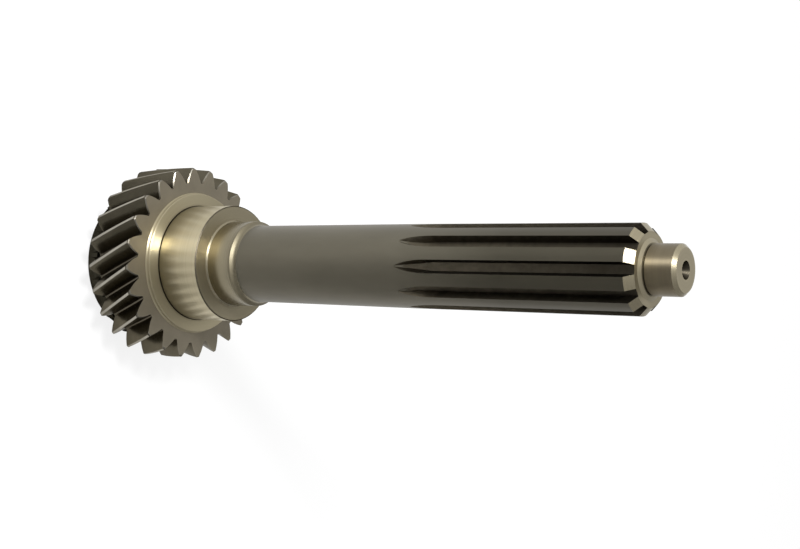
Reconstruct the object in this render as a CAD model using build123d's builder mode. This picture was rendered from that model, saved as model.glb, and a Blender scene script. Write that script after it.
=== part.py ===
from build123d import *
from math import acos, atan, cos, pi, radians, sin, sqrt, tan
import os

# Pilot shaft of a truck gearbox: the one-piece input shaft with its helical drive gear.
# It stands on the end of its clutch hub, with the axis along +Z and the pilot on top.
# All sizes are in millimetres and degrees.

# Clutch hub behind the gear: a friction cone, a ring of clutch teeth and a relief groove
CONE_END_DIAMETER = 82.4
CONE_WIDTH = 6.5
CONE_SLOPE = 6.5
CONE_EDGE_CHAMFER = 0.6
CLUTCH_RING_WIDTH = 6.0
CLUTCH_TEETH = 36
CLUTCH_TIP_DIAMETER = 90.8
CLUTCH_TOOTH_DEPTH = 2.6
CLUTCH_FLANK_ANGLE = 30.0
CLUTCH_POINT_ANGLE = 45.0
HUB_RELIEF_WIDTH = 4.5
HUB_RELIEF_DIAMETER = 76.0

# Bore in the hub for the bearing that carries the main shaft
POCKET_DIAMETER = 47.0
POCKET_DEPTH = 28.0
POCKET_CHAMFER = 1.5

# Drive gear
GEAR_WIDTH = 31.0
GEAR_TEETH = 24
NORMAL_MODULE = 4.0
NORMAL_PRESSURE_ANGLE = 31.0
HELIX_ANGLE = 25.0
PROFILE_SHIFT = -0.2
ADDENDUM_FACTOR = 1.0
DEDENDUM_FACTOR = 1.25
TOOTH_ROOT_CORNER = 0.3
TOOTH_FLOOR_WIDTH = 0.9
BLANK_FRONT_CHAMFER = 1.0
BLANK_REAR_CHAMFER = 1.2
GEAR_ANGLE = 2.7

# Thrust shoulder and bearing seat
SHOULDER_DIAMETER = 81.4
SHOULDER_HEIGHT = 2.4
SHOULDER_FOOT_CORNER = 0.7
SHOULDER_EDGE_CHAMFER = 0.4
SEAT_DIAMETER = 66.675
SEAT_LENGTH = 31.0
SEAT_CHAMFER = 0.6
UNDERCUT_WIDTH = 1.2
UNDERCUT_DEPTH = 0.5

# Collar and body
COLLAR_STEP = 2.5
COLLAR_LENGTH = 17.4
COLLAR_FOOT_CORNER = 0.8
COLLAR_EDGE_BREAK = 0.3
THROAT_RADIUS = 4.0
BODY_DIAMETER = 43.4

# Splines
SPLINE_COUNT = 10
SPLINE_DIAMETER = 44.45
SPLINE_LAND_WIDTH = 6.93
SPLINE_DEPTH = 4.22
SPLINE_END = 292.5
SPLINE_FULL_DEPTH_START = 181.0
SPLINE_END_CHAMFER = 4.0
CUTTER_RADIUS = 58.0
CUTTER_POINT_WIDTH = 0.4
CUTTER_FLANK_ANGLE = 41.0
RUNOUT_SECTIONS = 3

# Pilot journal
PILOT_DIAMETER = 25.0
PILOT_LENGTH = 17.5
PILOT_CHAMFER = 1.8
PILOT_FOOT_DIAMETER = 30.0
PILOT_FOOT_HEIGHT = 1.2
PILOT_RELIEF_WIDTH = 1.0
PILOT_RELIEF_DEPTH = 0.5
CENTRE_MOUTH_DIAMETER = 9.0
CENTRE_CONE_ANGLE = 60.0
CENTRE_HOLE_DIAMETER = 4.0
CENTRE_HOLE_DEPTH = 12.0

# How far a cutter reaches past a surface, how far the end of a groove's run-out rises past it,
# how thick a toothed ring is under its teeth, and how deep it lies in the bar that carries it
CUT_MARGIN = 1.5
RUNOUT_MARGIN = 0.5
RING_THICKNESS = 3.0
RING_OVERLAP = 1.5

# Heights. The seat's length and the places along the splines start at the gear's front face,
# and the pilot's length at the end of the splines.
clutch_ring_end = CONE_WIDTH + CLUTCH_RING_WIDTH
gear_rear = clutch_ring_end + HUB_RELIEF_WIDTH
gear_front = gear_rear + GEAR_WIDTH
shoulder_top = gear_front + SHOULDER_HEIGHT
seat_end = gear_front + SEAT_LENGTH
collar_end = seat_end + COLLAR_LENGTH
groove_full = gear_front + SPLINE_FULL_DEPTH_START
spline_end = gear_front + SPLINE_END
pilot_foot = spline_end + PILOT_FOOT_HEIGHT
pilot_end = spline_end + PILOT_LENGTH

# Radii
cone_end_radius = CONE_END_DIAMETER / 2
cone_foot_radius = cone_end_radius + CONE_WIDTH * tan(radians(CONE_SLOPE))
hub_relief_radius = HUB_RELIEF_DIAMETER / 2
clutch_tip_radius = CLUTCH_TIP_DIAMETER / 2
clutch_root_radius = clutch_tip_radius - CLUTCH_TOOTH_DEPTH
shoulder_radius = SHOULDER_DIAMETER / 2
seat_radius = SEAT_DIAMETER / 2
body_radius = BODY_DIAMETER / 2
collar_radius = body_radius + COLLAR_STEP
spline_radius = SPLINE_DIAMETER / 2
spline_root_radius = spline_radius - SPLINE_DEPTH
pilot_radius = PILOT_DIAMETER / 2
pilot_foot_radius = PILOT_FOOT_DIAMETER / 2

# Gear geometry in the plane across the axis
transverse_module = NORMAL_MODULE / cos(radians(HELIX_ANGLE))
transverse_pressure = atan(tan(radians(NORMAL_PRESSURE_ANGLE)) / cos(radians(HELIX_ANGLE)))
pitch_radius = transverse_module * GEAR_TEETH / 2
base_radius = pitch_radius * cos(transverse_pressure)
tip_radius = pitch_radius + NORMAL_MODULE * (ADDENDUM_FACTOR + PROFILE_SHIFT)
root_radius = pitch_radius - NORMAL_MODULE * (DEDENDUM_FACTOR - PROFILE_SHIFT)
pitch_space = transverse_module * pi / 2 - 2 * PROFILE_SHIFT * NORMAL_MODULE * tan(transverse_pressure)
lead = 2 * pi * pitch_radius / tan(radians(HELIX_ANGLE))
twist_angle = 360 * GEAR_WIDTH / lead


def involute(angle):
    """The involute function of an angle in radians."""
    return tan(angle) - angle


def half_space(radius):
    """Half of the angle, in radians, that a tooth space of the gear takes up at a radius."""
    pressure = acos(min(1.0, base_radius / radius))
    return pitch_space / 2 / pitch_radius - involute(transverse_pressure) + involute(pressure)


def half_groove(distance):
    """Half of a spline groove's width at a distance from the axis, between parallel-sided lands."""
    half_pitch = pi / SPLINE_COUNT
    return distance * tan(half_pitch) - SPLINE_LAND_WIDTH / 2 / cos(half_pitch)


def corner(sketch, radius, height):
    """The corner of a turned profile that lies at a radius and a height."""
    return sketch.vertices().sort_by_distance((radius, height))[0]


# Tooth space of the gear, open to the outside
flank_steps = 2
flank_start = root_radius + TOOTH_ROOT_CORNER
flank_reach = tip_radius + CUT_MARGIN - flank_start
flank_radii = [flank_start + flank_reach * i / flank_steps for i in range(flank_steps + 1)]
upper_flank = [(r * cos(half_space(r)), r * sin(half_space(r))) for r in flank_radii]
lower_flank = [(x, -y) for x, y in upper_flank]

with BuildSketch() as tooth_space:
    with BuildLine():
        upper = Spline(*upper_flank)
        lower = Spline(*lower_flank)
        half_floor = TOOTH_FLOOR_WIDTH / 2
        Polyline(upper @ 0, (root_radius, half_floor), (root_radius, -half_floor), lower @ 0)
        Line(upper @ 1, lower @ 1)
    make_face()

# Left-hand helical teeth: the section turns as it is swept up the axis
with BuildPart() as gear_teeth:
    with BuildSketch(Plane.XY.offset(gear_rear)):
        Circle(tip_radius)
        with PolarLocations(0, GEAR_TEETH, start_angle=GEAR_ANGLE + twist_angle + 180 / GEAR_TEETH):
            add(tooth_space.sketch, mode=Mode.SUBTRACT)
    with BuildLine():
        axis_line = Line((0, 0, gear_rear), (0, 0, gear_front))
    with BuildLine(Plane.XY.offset(gear_rear), mode=Mode.PRIVATE):
        helix = Helix(pitch=lead, height=GEAR_WIDTH, radius=pitch_radius, lefthand=True)
    sweep(path=axis_line, binormal=helix)
    with BuildSketch(Plane.XZ) as blank:
        with Locations((root_radius - RING_THICKNESS, gear_rear)):
            Rectangle(tip_radius - root_radius + RING_THICKNESS, GEAR_WIDTH, align=(Align.MIN, Align.MIN))
        chamfer(corner(blank, tip_radius, gear_rear), BLANK_REAR_CHAMFER)
        chamfer(corner(blank, tip_radius, gear_front), BLANK_FRONT_CHAMFER)
    revolve(axis=Axis.Z, mode=Mode.INTERSECT)

# Straight clutch teeth, with pointed ends that face away from the gear
clutch_pitch = 2 * pi * clutch_tip_radius / CLUTCH_TEETH
clutch_middle = (clutch_tip_radius + clutch_root_radius) / 2
clutch_reach = clutch_tip_radius + CUT_MARGIN


def clutch_half_space(distance):
    """Half of the width of a clutch tooth space at a distance from the axis."""
    return clutch_pitch / 4 + (distance - clutch_middle) * tan(radians(CLUTCH_FLANK_ANGLE))


with BuildPart() as clutch_teeth:
    with BuildSketch(Plane.XY.offset(CONE_WIDTH)):
        Circle(clutch_tip_radius)
        with BuildLine():
            Polyline(
                (clutch_root_radius, -clutch_half_space(clutch_root_radius)),
                (clutch_reach, -clutch_half_space(clutch_reach)),
                (clutch_reach, clutch_half_space(clutch_reach)),
                (clutch_root_radius, clutch_half_space(clutch_root_radius)),
                close=True,
            )
        clutch_space = make_face(mode=Mode.PRIVATE)
        with PolarLocations(0, CLUTCH_TEETH):
            add(clutch_space, mode=Mode.SUBTRACT)
    extrude(amount=CLUTCH_RING_WIDTH)
    with BuildSketch(Plane.YZ.offset(clutch_root_radius), mode=Mode.PRIVATE) as point_notch:
        point_height = clutch_pitch / 2 * tan(radians(CLUTCH_POINT_ANGLE))
        with BuildLine():
            Polyline(
                (-clutch_pitch / 2, CONE_WIDTH),
                (clutch_pitch / 2, CONE_WIDTH),
                (0, CONE_WIDTH + point_height),
                close=True,
            )
        make_face()
    with BuildPart(mode=Mode.PRIVATE) as point_cutter:
        extrude(point_notch.sketch, amount=clutch_reach - clutch_root_radius)
    with PolarLocations(0, CLUTCH_TEETH):
        add(point_cutter.part, mode=Mode.SUBTRACT)
    with BuildSketch(Plane.XY.offset(CONE_WIDTH)):
        Circle(clutch_root_radius - RING_THICKNESS)
    extrude(amount=CLUTCH_RING_WIDTH, mode=Mode.SUBTRACT)


def cutter_run(rise):
    """How far along the shaft the round cutter's edge takes to rise by that much."""
    return sqrt(2 * CUTTER_RADIUS * rise - rise**2)


# Spline groove: straight to the end of the shaft, and rising out where the cutter left it
runout_length = cutter_run(SPLINE_DEPTH)
runout_end = cutter_run(SPLINE_DEPTH + RUNOUT_MARGIN) / runout_length
groove_reach = spline_radius + CUT_MARGIN


def groove_section(progress):
    """The groove's section, from full depth (0) to the tip of its run-out (1) and just past it."""
    run = progress * runout_length
    floor = spline_root_radius + CUTTER_RADIUS - sqrt(CUTTER_RADIUS**2 - run**2)
    full_slope = tan(pi / SPLINE_COUNT)
    slope = full_slope + progress * (tan(radians(CUTTER_FLANK_ANGLE)) - full_slope)
    full_width = half_groove(spline_root_radius)
    floor_width = max(CUTTER_POINT_WIDTH / 2, full_width + progress * (CUTTER_POINT_WIDTH / 2 - full_width))
    mouth_width = floor_width + slope * (groove_reach - floor)
    with BuildSketch(Plane.XY.offset(groove_full - run)) as section:
        with BuildLine():
            Polyline(
                (floor, -floor_width),
                (groove_reach, -mouth_width),
                (groove_reach, mouth_width),
                (floor, floor_width),
                close=True,
            )
        make_face()
    return section.sketch


with BuildPart() as groove:
    extrude(groove_section(0), amount=spline_end - groove_full + CUT_MARGIN)
    loft([groove_section(runout_end * i / RUNOUT_SECTIONS) for i in range(RUNOUT_SECTIONS + 1)])

# The whole shaft: one turned bar with the teeth added and the grooves cut
gear_bar_radius = root_radius - RING_THICKNESS + RING_OVERLAP
clutch_bar_radius = clutch_root_radius - RING_THICKNESS + RING_OVERLAP
throat_rise = body_radius + THROAT_RADIUS - collar_radius + COLLAR_EDGE_BREAK
throat_end = collar_end + sqrt(THROAT_RADIUS**2 - throat_rise**2)
undercut_top = shoulder_top - UNDERCUT_DEPTH + UNDERCUT_WIDTH
relief_top = pilot_foot + PILOT_RELIEF_WIDTH
pilot_neck_radius = pilot_radius - PILOT_RELIEF_DEPTH
mouth_radius = CENTRE_MOUTH_DIAMETER / 2
hole_radius = CENTRE_HOLE_DIAMETER / 2
cone_bottom = pilot_end - (mouth_radius - hole_radius) / tan(radians(CENTRE_CONE_ANGLE / 2))
hole_bottom = pilot_end - CENTRE_HOLE_DEPTH

with BuildPart() as pilot_shaft:
    with BuildSketch(Plane.XZ) as profile:
        with BuildLine():
            lower_line = Polyline(
                (0, POCKET_DEPTH),
                (POCKET_DIAMETER / 2, POCKET_DEPTH),
                (POCKET_DIAMETER / 2, 0),
                (cone_end_radius, 0),
                (cone_foot_radius, CONE_WIDTH),
                (clutch_bar_radius, CONE_WIDTH),
                (clutch_bar_radius, clutch_ring_end),
                (hub_relief_radius, clutch_ring_end),
                (hub_relief_radius, gear_rear),
                (gear_bar_radius, gear_rear),
                (gear_bar_radius, gear_front),
                (shoulder_radius, gear_front),
                (shoulder_radius, shoulder_top),
                (seat_radius + UNDERCUT_DEPTH, shoulder_top),
                (seat_radius + UNDERCUT_DEPTH, shoulder_top - UNDERCUT_DEPTH),
                (seat_radius - UNDERCUT_DEPTH, shoulder_top - UNDERCUT_DEPTH),
                (seat_radius - UNDERCUT_DEPTH, undercut_top),
                (seat_radius, undercut_top),
                (seat_radius, seat_end),
                (collar_radius, seat_end),
                (collar_radius, collar_end - COLLAR_EDGE_BREAK),
                (collar_radius - COLLAR_EDGE_BREAK, collar_end),
            )
            throat = RadiusArc(lower_line @ 1, (body_radius, throat_end), THROAT_RADIUS)
            Polyline(
                throat @ 1,
                (spline_radius, groove_full - runout_length),
                (spline_radius, spline_end),
                (pilot_foot_radius, spline_end),
                (pilot_radius + PILOT_RELIEF_DEPTH, pilot_foot),
                (pilot_neck_radius, pilot_foot),
                (pilot_neck_radius, relief_top),
                (pilot_radius, relief_top),
                (pilot_radius, pilot_end),
                (mouth_radius, pilot_end),
                (hole_radius, cone_bottom),
                (hole_radius, hole_bottom),
                (0, hole_bottom),
                lower_line @ 0,
            )
        make_face()
        chamfer(corner(profile, POCKET_DIAMETER / 2, 0), POCKET_CHAMFER)
        chamfer(corner(profile, cone_end_radius, 0), CONE_EDGE_CHAMFER)
        chamfer(corner(profile, shoulder_radius, gear_front), SHOULDER_FOOT_CORNER)
        chamfer(corner(profile, shoulder_radius, shoulder_top), SHOULDER_EDGE_CHAMFER)
        chamfer(corner(profile, seat_radius, seat_end), SEAT_CHAMFER)
        chamfer(corner(profile, collar_radius, seat_end), COLLAR_FOOT_CORNER)
        chamfer(corner(profile, spline_radius, spline_end), SPLINE_END_CHAMFER)
        chamfer(corner(profile, pilot_radius, pilot_end), PILOT_CHAMFER)
    revolve(axis=Axis.Z)
    add(gear_teeth.part)
    add(clutch_teeth.part)
    with PolarLocations(0, SPLINE_COUNT, start_angle=180 / SPLINE_COUNT):
        add(groove.part, mode=Mode.SUBTRACT)

os.makedirs("parts", exist_ok=True)
pilot_shaft.part.label = "pilot_shaft"
export_step(pilot_shaft.part, "parts/pilot_shaft.step")
print("pilot shaft: volume", round(pilot_shaft.part.volume), "mm3, valid", pilot_shaft.part.is_valid)
print("solids", len(pilot_shaft.part.solids()), "faces", len(pilot_shaft.part.faces()))
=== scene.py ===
import math

import bmesh
import bpy
from mathutils import Matrix, Vector


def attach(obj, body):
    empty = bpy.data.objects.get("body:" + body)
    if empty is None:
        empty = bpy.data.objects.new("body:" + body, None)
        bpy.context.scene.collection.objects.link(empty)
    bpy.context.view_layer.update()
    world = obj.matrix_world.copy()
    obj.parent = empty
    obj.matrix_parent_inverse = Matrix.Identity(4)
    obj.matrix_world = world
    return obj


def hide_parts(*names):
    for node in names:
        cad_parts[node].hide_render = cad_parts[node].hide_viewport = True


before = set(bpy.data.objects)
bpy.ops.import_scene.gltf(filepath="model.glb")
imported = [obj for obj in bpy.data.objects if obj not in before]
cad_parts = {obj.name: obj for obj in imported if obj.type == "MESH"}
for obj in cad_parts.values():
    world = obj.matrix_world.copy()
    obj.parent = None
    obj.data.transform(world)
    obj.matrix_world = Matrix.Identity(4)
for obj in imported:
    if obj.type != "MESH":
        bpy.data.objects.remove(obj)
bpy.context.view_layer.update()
MM = 0.001

# Heights of the shaft's forms over the end of its hub, in millimetres
GEAR_REAR = 17.0
BORE_FLOOR = 28.0
GEAR_FRONT = 48.0
SHOULDER_TOP = 50.4
SEAT_CHAMFER_FOOT = 78.4
SEAT_CHAMFER_TOP = 78.95
SEAT_END = 79.0
COLLAR_END = 96.4
RUNOUT_TIP = 207.3
SPLINE_CHAMFER_FOOT = 336.5
SPLINE_END = 340.5
PILOT_FOOT = 341.7
PILOT_RELIEF_END = 342.7

# Radii of those forms, in millimetres
BORE_RADIUS = 23.5
GEAR_ROOT_RADIUS = 47.16
GEAR_TIP_RADIUS = 56.16
SHOULDER_RADIUS = 40.7
SEAT_RADIUS = 33.34
BODY_RADIUS = 21.7
SPLINE_RADIUS = 22.225
CENTRE_RADIUS = 4.4

# The chamfers at the ends of the gear's teeth. The turns are in degrees round the axis.
FRONT_CHAMFER_DEPTH = 0.5
FRONT_CHAMFER_TURN = 0.5
REAR_CHAMFER_DEPTH = 0.8
REAR_CHAMFER_TURN = 0.7
CHAMFER_ABOVE_ROOT = 0.2
LEAST_FLANK_TURN = 0.3

# The mesh. Corners this close and facets this flat are joined, edges this sharp are broken, and folds this
# narrow are closed. Angles are in degrees.
JOIN_DISTANCE = 0.001
FLAT_ANGLE = 0.2
BROKEN_EDGE_WIDTH = 0.14
BROKEN_EDGE_ANGLE = 24
FOLD_WIDTH = 0.003
SMOOTH_ANGLE = 30

# Where one finish gives way to the next, in millimetres. The painted black shade reaches up the seat and out
# over the shoulder from their corner, and fills what lies deep enough under the splines' surface.
BLACK_UP_SEAT = 0.85
BLACK_OVER_SHOULDER = 0.7
TURNED_UP_THROAT = 2.45
LEAST_GROOVE_DEPTH = 0.12

# How far past the edge of a form the middle of one of its faces may lie
CLOSE = 0.02
NEAR = 0.1

# How far a face's normal leans along the axis, from where it counts as a chamfer's and as an end face's
CHAMFER_LEAN = 0.3
END_FACE_LEAN = 0.9

# The photograph's camera. It looks down along the shaft's side, and is rolled so that the shaft lies across.
CAMERA_PLACE = Vector((-2.2, -601.7, 622.0)) * MM
CAMERA_FORWARD = Vector((0.00915, 0.81602, -0.57795))
CAMERA_UP = Vector((-0.99987, 0.0, -0.0158))
CAMERA_LENS = 62.57
CAMERA_NEAREST = 0.01

# The studio, in metres
FLOOR_WIDTH = 6.0
FLOOR_GAP = 0.5 * MM
CARD_PLACE = Vector((0.08, -0.115, 0.21))
CARD_SIZE = (0.45, 0.42, 1)
LAMP_AIM = Vector((0, 0, 0.2))
LAMP_DIRECTION = Vector((-0.42, -0.47, 0.78))
LAMP_DISTANCE = 1.3
LAMP_WIDTH = 0.3
LAMP_POWER = 20

# How much white the floor shows to the lens and to polished steel
FLOOR_WHITE = 1.1
FLOOR_WHITE_SHARE = 0.75

# The world's light, from the sides that are up and down in the picture
LIGHT_FROM_ABOVE = 1.05
LIGHT_FROM_BELOW = 0.3


def grey(level):
    return (level, level, level, 1.0)


def rgba(red, green, blue):
    return (red, green, blue, 1.0)


# Colours that the finishes reflect
BODY_GREY = rgba(0.147, 0.135, 0.103)
LAND_GREY = rgba(0.082, 0.075, 0.056)
FLANK_GREY = rgba(0.1, 0.089, 0.064)
# Painted shade at the roots of the teeth
ROOT_SHADE_GREY = rgba(0.085, 0.075, 0.056)
# A painted highlight for the crests and the front chamfers
CREST_HIGHLIGHT = rgba(0.33, 0.31, 0.265)
FACED_GREY = rgba(0.235, 0.209, 0.158)
GROUND_WHITE = rgba(0.50, 0.445, 0.305)
PILOT_GREY = rgba(0.21, 0.178, 0.12)
TURNED_GREY = rgba(0.28, 0.248, 0.172)
# Painted shade in the grooves, reliefs and centre hole, and a painted dark reflection on the seat's end
# chamfer
SHADE_BLACK = rgba(0.055, 0.048, 0.035)
# Painted shade on the hub, which lies in the gear's shade
HUB_SHADE_GREY = rgba(0.04, 0.037, 0.028)

# Tints of the steel that is seen edge on
FLANK_RIM = rgba(0.58, 0.56, 0.52)
HUB_RIM = rgba(0.2, 0.185, 0.155)
BLACK_RIM = rgba(0.12, 0.105, 0.08)

# Where the finishes, their painted shade and their painted highlights change: spans of height or radius in
# millimetres. The throat's is its distance from the collar's end.
SPLINES_DARKEN = (COLLAR_END + 110, COLLAR_END + 172)
# The grooves' painted shade deepens over this span
GROOVE_SHADE_DEEPENS = (COLLAR_END + 120, SPLINE_END - 15)
# Painted shade on the flanks towards the rear, by the hub, fades over this span
FLANK_REAR_SHADE = (GEAR_REAR, GEAR_REAR + 12)
# Painted shade on the seat near the shoulder fades out over this span
SEAT_SHADE_FADES = (SHOULDER_TOP, SHOULDER_TOP + 13)
# Painted shade darkens the collar over this span
COLLAR_SHADE = (SEAT_END + 8, COLLAR_END)
FORWARD_OF_COLLAR = (COLLAR_END + 1, SPLINE_END - 5)
PILOT_STARTS = (SPLINE_END, SPLINE_END + 0.1)
SHOULDER_STARTS = (SEAT_RADIUS + 0.3, SEAT_RADIUS + 0.5)
# Painted shade at the tooth roots fades out over this span of radius
ROOT_SHADE_FADES = (GEAR_ROOT_RADIUS + 0.6, GEAR_ROOT_RADIUS + 4.5)
# Painted highlights on the crests and on the front chamfers begin over these two spans
CREST_STARTS = (GEAR_TIP_RADIUS - 0.1, GEAR_TIP_RADIUS - 0.03)
THROAT_ENDS = (1.0, 2.0)
FRONT_CHAMFER_STARTS = (GEAR_FRONT - FRONT_CHAMFER_DEPTH - 0.05, GEAR_FRONT - FRONT_CHAMFER_DEPTH + 0.05)

# How far a surface faces up, from where an end face's duller finish begins to where it is complete
FACES_UP = (0.8, 0.95)

# The span of the noise patterns that the finishes use, how fine they are drawn, and the turn that lays the
# brushing round the axis
NOISE_LOW = 0.3
NOISE_HIGH = 0.7
NOISE_DETAIL = 3
QUARTER_TURN = 0.25


def select_only(piece):
    """Makes one piece the active one and the only one that is selected."""
    bpy.ops.object.select_all(action="DESELECT")
    piece.select_set(True)
    bpy.context.view_layer.objects.active = piece


def edit_whole_mesh():
    """Enters edit mode with the whole of the active piece selected."""
    bpy.ops.object.mode_set(mode="EDIT")
    bpy.ops.mesh.select_all(action="SELECT")


def flank_turn(vert):
    """How far the tooth flank at a corner faces round the axis, from -1 to 1. A crest has about 0."""
    around = Vector((-vert.co.y, vert.co.x, 0)).normalized()
    sides = [face for face in vert.link_faces if abs(face.normal.z) < END_FACE_LEAN]
    return max([face.normal.dot(around) for face in sides], key=abs, default=0)


def select_flank_ends(piece, height, side):
    """Selects the corners of the gear's end face at a height which lie on the flanks that face one way."""
    form = bmesh.new()
    form.from_mesh(piece.data)
    for face in form.faces:
        face.select_set(False)
    for vert in form.verts:
        radius = math.hypot(vert.co.x, vert.co.y) / MM
        at_end = abs(vert.co.z / MM - height) < CLOSE and radius > GEAR_ROOT_RADIUS + CHAMFER_ABOVE_ROOT
        vert.select_set(at_end and flank_turn(vert) * side > LEAST_FLANK_TURN)
    form.to_mesh(piece.data)
    form.free()


def chamfer_flank_ends(piece, height, depth, turn):
    """Chamfers the ends of the flanks that face one way. The mesh is cut at the chamfer's depth, and the
    corners of the end face are turned into the tooth."""
    inward = 1 if height < GEAR_FRONT else -1
    select_only(piece)
    edit_whole_mesh()
    bpy.ops.mesh.bisect(plane_co=(0, 0, (height + inward * depth) * MM), plane_no=(0, 0, 1))
    bpy.ops.mesh.select_all(action="DESELECT")
    bpy.ops.object.mode_set(mode="OBJECT")
    bpy.context.tool_settings.mesh_select_mode = (True, False, False)
    select_flank_ends(piece, height, math.copysign(1, -turn))
    bpy.ops.object.mode_set(mode="EDIT")
    bpy.ops.transform.rotate(value=-math.radians(turn), orient_axis="Z", center_override=(0, 0, 0))
    bpy.ops.object.mode_set(mode="OBJECT")


def break_edges(piece):
    """Breaks the sharp edges, and closes the folds that this leaves where a form runs out to nothing."""
    bevel = piece.modifiers.new("broken_edges", "BEVEL")
    bevel.limit_method = "ANGLE"
    bevel.angle_limit = math.radians(BROKEN_EDGE_ANGLE)
    bevel.width = BROKEN_EDGE_WIDTH * MM
    bevel.segments = 2
    bpy.ops.object.modifier_apply(modifier=bevel.name)
    edit_whole_mesh()
    bpy.ops.mesh.remove_doubles(threshold=FOLD_WIDTH * MM)
    bpy.ops.mesh.dissolve_degenerate(threshold=FOLD_WIDTH * MM)
    bpy.ops.object.mode_set(mode="OBJECT")


def finished_shaft(node):
    """The shaft with its facets joined up, its tooth ends chamfered and its edges broken."""
    shaft = bpy.data.objects.new("shaft", node.data.copy())
    bpy.context.scene.collection.objects.link(shaft)
    select_only(shaft)
    bpy.ops.mesh.customdata_custom_splitnormals_clear()
    edit_whole_mesh()
    bpy.ops.mesh.remove_doubles(threshold=JOIN_DISTANCE * MM)
    bpy.ops.mesh.dissolve_limited(angle_limit=math.radians(FLAT_ANGLE))
    bpy.ops.object.mode_set(mode="OBJECT")
    chamfer_flank_ends(shaft, GEAR_FRONT, FRONT_CHAMFER_DEPTH, -FRONT_CHAMFER_TURN)
    chamfer_flank_ends(shaft, GEAR_REAR, REAR_CHAMFER_DEPTH, -REAR_CHAMFER_TURN)
    chamfer_flank_ends(shaft, GEAR_REAR, REAR_CHAMFER_DEPTH, REAR_CHAMFER_TURN)
    break_edges(shaft)
    bpy.ops.object.shade_smooth_by_angle(angle=math.radians(SMOOTH_ANGLE))
    flat_faces = shaft.modifiers.new("flat_faces", "WEIGHTED_NORMAL")
    flat_faces.keep_sharp = True
    bpy.ops.object.modifier_apply(modifier=flat_faces.name)
    return shaft


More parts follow.
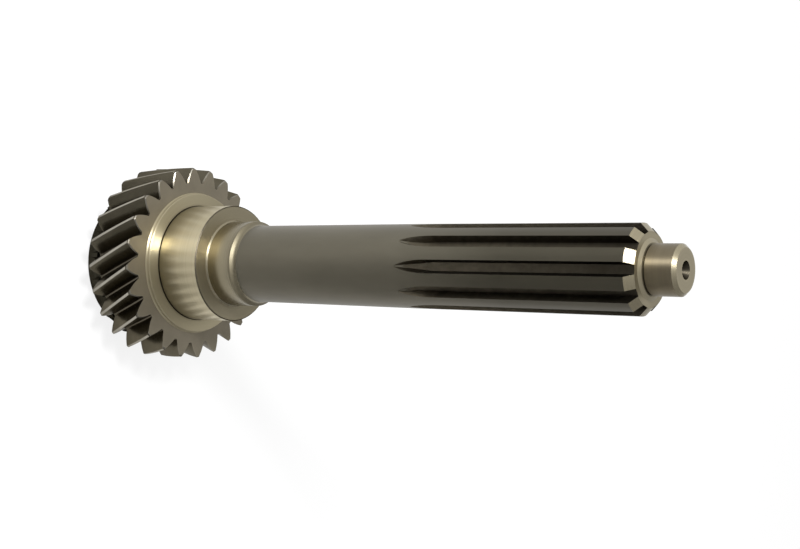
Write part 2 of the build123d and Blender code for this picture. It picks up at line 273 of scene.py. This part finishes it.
class Finish:
    """One finish of the steel. It starts as plain metal, and gets its colour, roughness and relief from
    numbers that vary over the shaft: height and radius in millimetres, and how far the surface faces up."""

    def __init__(self, name):
        self.material = bpy.data.materials.new(name)
        self.material.use_nodes = True
        self.nodes = self.material.node_tree.nodes
        self.links = self.material.node_tree.links
        self.shader = self.nodes["Principled BSDF"]
        self.shader.inputs["Metallic"].default_value = 1.0
        coordinates = self.nodes.new("ShaderNodeTexCoord")
        self.place = coordinates.outputs["Object"]
        x, y, z = self.split(self.place)
        square = self.compute("ADD", self.compute("MULTIPLY", x, x), self.compute("MULTIPLY", y, y))
        self.height = self.compute("MULTIPLY", z, 1 / MM)
        self.radius = self.compute("MULTIPLY", self.compute("SQRT", square), 1 / MM)
        self.upward = self.split(coordinates.outputs["Normal"])["Z"]

    def put(self, socket, value):
        """Links a value that varies, or sets one that doesn't."""
        if isinstance(value, bpy.types.NodeSocket):
            self.links.new(value, socket)
        else:
            socket.default_value = value

    def split(self, vector):
        """The three parts of a vector."""
        node = self.nodes.new("ShaderNodeSeparateXYZ")
        self.links.new(vector, node.inputs["Vector"])
        return node.outputs

    def compute(self, operation, first, second=0.0):
        """The outcome of an operation on one or two numbers."""
        node = self.nodes.new("ShaderNodeMath")
        node.operation = operation
        for socket, number in zip(node.inputs, (first, second)):
            self.put(socket, number)
        return node.outputs["Value"]

    def rise(self, value, start, end, low=0.0, high=1.0):
        """A number that goes from low to high while another goes from start to end."""
        node = self.nodes.new("ShaderNodeMapRange")
        for socket, setting in zip(node.inputs, (value, start, end, low, high)):
            self.put(socket, setting)
        return node.outputs["Result"]

    def blend(self, mask, under, over):
        """One colour over another, as far as the mask lets it."""
        node = self.nodes.new("ShaderNodeMix")
        node.data_type = "RGBA"
        # The node's colour sockets come after its number and vector sockets, under the same names
        for index, value in ((0, mask), (6, under), (7, over)):
            self.put(node.inputs[index], value)
        return node.outputs[2]

    def tone(self, colour, strength):
        """A colour made lighter or darker by a number."""
        node = self.nodes.new("ShaderNodeVectorMath")
        node.operation = "SCALE"
        self.put(node.inputs["Vector"], colour if isinstance(colour, bpy.types.NodeSocket) else colour[:3])
        self.put(node.inputs["Scale"], strength)
        return node.outputs["Vector"]

    def noise(self, grain, stretch=(1, 1, 1)):
        """Cloudy noise round 0.5, with a grain in millimetres that can be stretched along an axis."""
        spread = self.nodes.new("ShaderNodeMapping")
        self.links.new(self.place, spread.inputs["Vector"])
        spread.inputs["Scale"].default_value = [1 / part for part in stretch]
        return self.pattern(spread.outputs["Vector"], 1 / (grain * MM))

    def rings(self, pitch):
        """Lathe rings: noise that changes along the shaft and across its faces, but not round the axis."""
        join = self.nodes.new("ShaderNodeCombineXYZ")
        self.links.new(self.height, join.inputs["X"])
        self.links.new(self.radius, join.inputs["Y"])
        return self.pattern(join.outputs["Vector"], 1 / pitch)

    def pattern(self, place, scale):
        """The noise that clouds and rings are made of."""
        node = self.nodes.new("ShaderNodeTexNoise")
        self.links.new(place, node.inputs["Vector"])
        node.inputs["Scale"].default_value = scale
        node.inputs["Detail"].default_value = NOISE_DETAIL
        return node.outputs["Fac"]

    def drift(self, pattern, change):
        """A strength round 1 that a pattern raises and lowers by a change."""
        return self.rise(pattern, NOISE_LOW, NOISE_HIGH, 1 - change, 1 + change)

    def relief(self, pattern, depth):
        """Raises the surface by a pattern, to a depth in millimetres."""
        node = self.nodes.new("ShaderNodeBump")
        self.links.new(pattern, node.inputs["Height"])
        node.inputs["Distance"].default_value = depth * MM
        self.links.new(node.outputs["Normal"], self.shader.inputs["Normal"])

    def brush(self, amount):
        """Brushes the steel round the axis."""
        self.shader.inputs["Anisotropic"].default_value = amount
        self.shader.inputs["Anisotropic Rotation"].default_value = QUARTER_TURN
        node = self.nodes.new("ShaderNodeTangent")
        node.direction_type = "RADIAL"
        node.axis = "Z"
        self.links.new(node.outputs["Tangent"], self.shader.inputs["Tangent"])

    def dark_rim(self, tint):
        """Keeps the steel from turning white where it is seen edge on."""
        self.shader.inputs["Specular Tint"].default_value = tint

    def coat(self, colour, roughness):
        """Gives the steel its colour and roughness, which completes the finish."""
        self.put(self.shader.inputs["Base Color"], colour)
        self.put(self.shader.inputs["Roughness"], roughness)
        return self.material


def hardened():
    """The dull grey of the body. The splines are smoother and darker than the plain length."""
    steel = Finish("hardened")
    splined = steel.rise(steel.height, *SPLINES_DARKEN)
    clouds = steel.drift(steel.noise(grain=14, stretch=(1, 1, 3)), change=0.07)
    colour = steel.tone(steel.blend(splined, BODY_GREY, LAND_GREY), clouds)
    steel.relief(steel.rings(pitch=0.25), depth=0.004)
    return steel.coat(colour, roughness=steel.rise(splined, 0, 1, low=0.45, high=0.36))


def tooth_flank():
    """The gear's teeth: painted shade at the root and towards the rear by the hub, and painted
    highlights on the crests and the front chamfers."""
    steel = Finish("tooth_flank")
    # Painted shade at the roots of the teeth, fading out towards the crests
    out_of_root_shade = steel.rise(steel.radius, *ROOT_SHADE_FADES)
    # Painted highlights on the front chamfers and the crests
    chamfer = steel.rise(steel.height, *FRONT_CHAMFER_STARTS, high=0.7)
    crest = steel.rise(steel.radius, *CREST_STARTS)
    painted_highlight = steel.compute("MAXIMUM", chamfer, crest)
    colour = steel.blend(out_of_root_shade, ROOT_SHADE_GREY, steel.blend(painted_highlight, FLANK_GREY, CREST_HIGHLIGHT))
    clouds = steel.drift(steel.noise(grain=5), change=0.08)
    # Painted shade: the flanks darker towards the rear, by the hub
    forward = steel.rise(steel.height, *FLANK_REAR_SHADE, low=0.75)
    steel.dark_rim(FLANK_RIM)
    return steel.coat(steel.tone(colour, steel.compute("MULTIPLY", clouds, forward)), roughness=0.27)


def faced():
    """The gear's front face, turned flat."""
    steel = Finish("faced")
    clouds = steel.drift(steel.noise(grain=9), change=0.06)
    steel.relief(steel.rings(pitch=0.3), depth=0.003)
    return steel.coat(steel.tone(FACED_GREY, clouds), roughness=0.55)


def ground():
    """The ground shoulder, bearing seat and pilot, brushed round the axis by the wheel. The seat is
    smoother, and darker near the shoulder with painted shade, which stands for the gear face's dark
    reflection there."""
    steel = Finish("ground")
    pilot = steel.rise(steel.height, *PILOT_STARTS)
    shoulder = steel.rise(steel.radius, *SHOULDER_STARTS)
    seat = steel.compute("LESS_THAN", steel.compute("MAXIMUM", pilot, shoulder), 0.5)
    # Painted shade on the seat near the shoulder, standing for the gear face's dark reflection
    shoulder_shade = steel.rise(steel.height, *SEAT_SHADE_FADES, low=0.62)
    streaks = steel.drift(steel.rings(pitch=1.2), change=0.05)
    strength = steel.compute("MULTIPLY", streaks, steel.compute("MAXIMUM", shoulder_shade, shoulder))
    colour = steel.tone(steel.blend(pilot, GROUND_WHITE, PILOT_GREY), strength)
    steel.brush(0.95)
    return steel.coat(colour, roughness=steel.rise(seat, 0, 1, low=0.41, high=0.28))


def turned():
    """The turned step, collar and throat, the splines' end, the pilot's end and the hub's bore. The end
    faces and the throat are duller, and painted shade darkens the collar towards the throat."""
    steel = Finish("turned")
    step = steel.rise(steel.upward, *FACES_UP)
    from_throat = steel.compute("ABSOLUTE", steel.compute("SUBTRACT", steel.height, COLLAR_END))
    dull = steel.compute("MAXIMUM", step, steel.rise(from_throat, *THROAT_ENDS, low=1.0, high=0.0))
    # Painted shade: the collar darker towards the throat
    collar = steel.rise(steel.height, *COLLAR_SHADE, low=1.0, high=0.7)
    forward = steel.rise(steel.height, *FORWARD_OF_COLLAR, high=0.6)
    streaks = steel.drift(steel.rings(pitch=0.8), change=0.06)
    strength = steel.compute("MULTIPLY", streaks, steel.compute("ADD", collar, forward))
    steel.relief(steel.rings(pitch=0.35), depth=0.0015)
    colour = steel.tone(TURNED_GREY, strength)
    return steel.coat(colour, roughness=steel.rise(dull, 0, 1, low=0.27, high=0.48))


def hub():
    """The hub behind the gear: dull, and painted dark for the shade it lies in behind the gear."""
    steel = Finish("hub")
    clouds = steel.drift(steel.noise(grain=4), change=0.1)
    steel.dark_rim(HUB_RIM)
    return steel.coat(steel.tone(HUB_SHADE_GREY, clouds), roughness=0.5)


def black_shade():
    """Painted black shade in the reliefs, the centre hole and the grooves, which get darker towards the
    splines' end, and a painted dark reflection on the seat's end chamfer."""
    steel = Finish("black_shade")
    clouds = steel.drift(steel.noise(grain=4), change=0.15)
    # Painted shade, deeper towards the splines' end
    groove_shade = steel.rise(steel.height, *GROOVE_SHADE_DEEPENS, low=1.9, high=0.85)
    steel.dark_rim(BLACK_RIM)
    return steel.coat(steel.tone(SHADE_BLACK, steel.compute("MULTIPLY", clouds, groove_shade)), roughness=0.4)


FINISHES = [hardened, tooth_flank, faced, ground, turned, hub, black_shade]


def surface_radius(height):
    """The radius of the body and its splines at a height."""
    share = (height - COLLAR_END) / (RUNOUT_TIP - COLLAR_END)
    return BODY_RADIUS + min(1.0, share) * (SPLINE_RADIUS - BODY_RADIUS)


def in_groove(height, radius):
    """Whether a place lies in one of the grooves between the splines, or in a groove's run-out."""
    return height < SPLINE_END - NEAR and radius < surface_radius(height) - LEAST_GROOVE_DEPTH


def finish_of(face, corners):
    """Which finish a face of the shaft has, by the mean place of its corners and the way it faces."""
    places = [corners[index].co / MM for index in face.vertices]
    radius = sum(math.hypot(place.x, place.y) for place in places) / len(places)
    height = sum(place.z for place in places) / len(places)
    if radius < BORE_RADIUS + NEAR and height < BORE_FLOOR + NEAR:
        return turned
    if height < GEAR_REAR + CLOSE:
        return hub
    if height < GEAR_FRONT + CLOSE and radius > SHOULDER_RADIUS:
        return faced if abs(face.normal.z) > END_FACE_LEAN else tooth_flank
    if height < SHOULDER_TOP + CLOSE and radius > SEAT_RADIUS + BLACK_OVER_SHOULDER:
        return ground
    if height < SHOULDER_TOP + BLACK_UP_SEAT:
        return black_shade
    if height < SEAT_CHAMFER_FOOT + NEAR:
        return ground
    if height < SEAT_CHAMFER_TOP:
        return black_shade
    if height < COLLAR_END + TURNED_UP_THROAT:
        return turned
    if in_groove(height, radius) and face.normal.z < CHAMFER_LEAN:
        return black_shade
    if height < SPLINE_CHAMFER_FOOT:
        return hardened
    if height < PILOT_FOOT + CLOSE:
        return turned
    if height < PILOT_RELIEF_END or radius < CENTRE_RADIUS:
        return black_shade
    return turned if face.normal.z > CHAMFER_LEAN else ground


def give_finishes(shaft):
    """Makes the finishes, and gives each face of the shaft its own."""
    shaft.data.materials.clear()
    for finish in FINISHES:
        shaft.data.materials.append(finish())
    for face in shaft.data.polygons:
        face.material_index = FINISHES.index(finish_of(face, shaft.data.vertices))


def matt_paint(name, colour):
    """A paint with no gloss, for what stands round the shaft."""
    material = bpy.data.materials.new(name)
    material.use_nodes = True
    paint = material.node_tree.nodes["Principled BSDF"]
    paint.inputs["Base Color"].default_value = colour
    paint.inputs["Roughness"].default_value = 1.0
    return material


def pale_floor():
    """A white floor that keeps the shaft's shadow. The lens and polished steel see it a little lighter."""
    material = matt_paint("pale_floor", grey(0.8))
    nodes = material.node_tree.nodes
    links = material.node_tree.links
    paint = nodes["Principled BSDF"]
    paint.inputs["Specular IOR Level"].default_value = 0.0
    path = nodes.new("ShaderNodeLightPath")
    seen = nodes.new("ShaderNodeMath")
    seen.operation = "MAXIMUM"
    links.new(path.outputs["Is Camera Ray"], seen.inputs[0])
    links.new(path.outputs["Is Glossy Ray"], seen.inputs[1])
    share = nodes.new("ShaderNodeMath")
    share.operation = "MULTIPLY"
    links.new(seen.outputs["Value"], share.inputs[0])
    share.inputs[1].default_value = FLOOR_WHITE_SHARE
    white = nodes.new("ShaderNodeEmission")
    white.inputs["Strength"].default_value = FLOOR_WHITE
    mix = nodes.new("ShaderNodeMixShader")
    links.new(share.outputs["Value"], mix.inputs["Fac"])
    links.new(paint.outputs["BSDF"], mix.inputs[1])
    links.new(white.outputs["Emission"], mix.inputs[2])
    links.new(mix.outputs["Shader"], nodes["Material Output"].inputs["Surface"])
    return material


def lay_floor():
    """Lays the floor a hair below the shaft's foot."""
    bpy.ops.object.select_all(action="DESELECT")
    bpy.ops.mesh.primitive_plane_add(size=FLOOR_WIDTH, location=(0, 0, -FLOOR_GAP))
    floor = bpy.context.active_object
    floor.name = "floor"
    floor.data.materials.append(pale_floor())


def stand_card():
    """Stands a card upright beside the shaft, facing it. Only polished steel sees it, as a painted darker
    reflection on that side; it casts no shadow and lights nothing.
    """
    bpy.ops.object.select_all(action="DESELECT")
    bpy.ops.mesh.primitive_plane_add(size=1.0, location=CARD_PLACE)
    card = bpy.context.active_object
    card.scale = CARD_SIZE
    card.rotation_euler = Vector((CARD_PLACE.x, CARD_PLACE.y, 0)).to_track_quat("Z", "Y").to_euler()
    card.name = "grey_card"
    card.data.materials.append(matt_paint("card_grey", grey(0.62)))
    card.visible_camera = False
    card.visible_diffuse = False
    card.visible_shadow = False


def studio_world():
    """Soft light from all round, brighter on the side that is up in the picture. The lens sees it white."""
    world = bpy.data.worlds.new("studio")
    world.use_nodes = True
    nodes = world.node_tree.nodes
    links = world.node_tree.links
    coordinates = nodes.new("ShaderNodeTexCoord")
    parts = nodes.new("ShaderNodeSeparateXYZ")
    links.new(coordinates.outputs["Generated"], parts.inputs["Vector"])
    fade = nodes.new("ShaderNodeMapRange")
    links.new(parts.outputs["X"], fade.inputs["Value"])
    fade.inputs["From Min"].default_value = -1
    fade.inputs["From Max"].default_value = 1
    fade.inputs["To Min"].default_value = LIGHT_FROM_ABOVE
    fade.inputs["To Max"].default_value = LIGHT_FROM_BELOW
    path = nodes.new("ShaderNodeLightPath")
    strength = nodes.new("ShaderNodeMath")
    strength.operation = "MAXIMUM"
    links.new(fade.outputs["Result"], strength.inputs[0])
    links.new(path.outputs["Is Camera Ray"], strength.inputs[1])
    links.new(strength.outputs["Value"], nodes["Background"].inputs["Strength"])
    nodes["Background"].inputs["Color"].default_value = grey(1.0)
    return world


def hang_lamp():
    """Hangs a small soft lamp over the shaft, turned towards it."""
    bpy.ops.object.light_add(type="AREA", location=LAMP_AIM + LAMP_DIRECTION * LAMP_DISTANCE)
    lamp = bpy.context.active_object
    lamp.name = "key"
    lamp.data.energy = LAMP_POWER
    lamp.data.size = LAMP_WIDTH
    lamp.rotation_euler = LAMP_DIRECTION.to_track_quat("Z", "Y").to_euler()


def set_camera():
    """Sets the camera where the photograph's stood."""
    right = CAMERA_FORWARD.cross(CAMERA_UP).normalized()
    up = right.cross(CAMERA_FORWARD).normalized()
    back = -CAMERA_FORWARD.normalized()
    bpy.ops.object.camera_add(location=CAMERA_PLACE)
    camera = bpy.context.active_object
    camera.rotation_euler = Matrix((right, up, back)).transposed().to_euler()
    camera.data.lens = CAMERA_LENS
    camera.data.clip_start = CAMERA_NEAREST
    bpy.context.scene.camera = camera


shaft = finished_shaft(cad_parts["pilot_shaft"])
give_finishes(shaft)
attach(shaft, "root")
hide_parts("pilot_shaft")

lay_floor()
stand_card()
bpy.context.scene.world = studio_world()
hang_lamp()
set_camera()
bpy.context.scene.view_settings.view_transform = "Standard"
